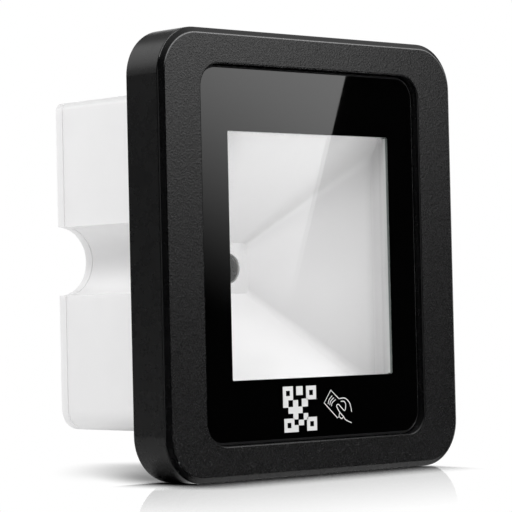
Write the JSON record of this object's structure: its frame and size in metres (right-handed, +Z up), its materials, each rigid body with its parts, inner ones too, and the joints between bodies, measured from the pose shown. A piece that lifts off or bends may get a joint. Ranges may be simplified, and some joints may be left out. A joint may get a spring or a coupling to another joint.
{
  "type": "fixed barcode reader",
  "caption": "Flush-mounted code reader with a thick black frame, glass window over a white light funnel, and a white rear box with half-round side channels.",
  "frame": {"origin": "middle between the two fixing inserts, on the bezel's rear face that seats on the panel", "axes": "front faces -Y, +Y goes into the panel, +Z up, +X to the right seen from the front"},
  "size_m": [0.091, 0.0508, 0.1],
  "materials": {
    "bezel_plastic": "fine grain on the face, polished chamfer and sides",
    "window_glass": "clear, with ground edges",
    "mask_print": "polished black plate with a bevelled edge",
    "tape": "matt black adhesive foam",
    "funnel_plastic": "matt white diffuser",
    "circuit_board": "green solder resist",
    "copper": "bare copper winding",
    "lead_sleeve": "pale grey insulation",
    "housing_plastic": "matt white moulding",
    "screw_steel": "zinc plated",
    "insert_brass": "turned brass",
    "camera_plastic": "matt black",
    "lens_glass": "coated lens",
    "sensor_chip": "dark covered chip",
    "emitter_resin": "clear yellowish resin",
    "socket_plastic": "ivory moulding",
    "chip_resin": "black moulding compound",
    "inductor_core": "grey ferrite",
    "pin_metal": "plated contact pins"
  },
  "bodies": {
    "root": {"front_bezel": "bezel_plastic", "window_glass": "window_glass", "window_mask": "mask_print", "glass_tape": "tape", "light_funnel": "funnel_plastic", "antenna_board": "circuit_board", "antenna_coil": "copper", "antenna_lead": "lead_sleeve", "main_housing": "housing_plastic", "rear_cover": "housing_plastic", "housing_screws": "screw_steel", "cover_screws": "screw_steel", "fixing_inserts": "insert_brass", "lens_barrel": "camera_plastic", "front_lens": "lens_glass", "rear_lens": "lens_glass", "lens_holder": "camera_plastic", "image_sensor": "sensor_chip", "camera_board": "circuit_board", "camera_screws": "screw_steel", "light_emitters": "emitter_resin", "board_connector": "socket_plastic", "main_board": "circuit_board", "board_screws": "screw_steel", "processor_chip": "chip_resin", "memory_chip": "chip_resin", "power_inductor": "inductor_core", "buzzer": "chip_resin", "interface_socket": "socket_plastic", "socket_pins": "pin_metal"}
  },
  "joints": []
}
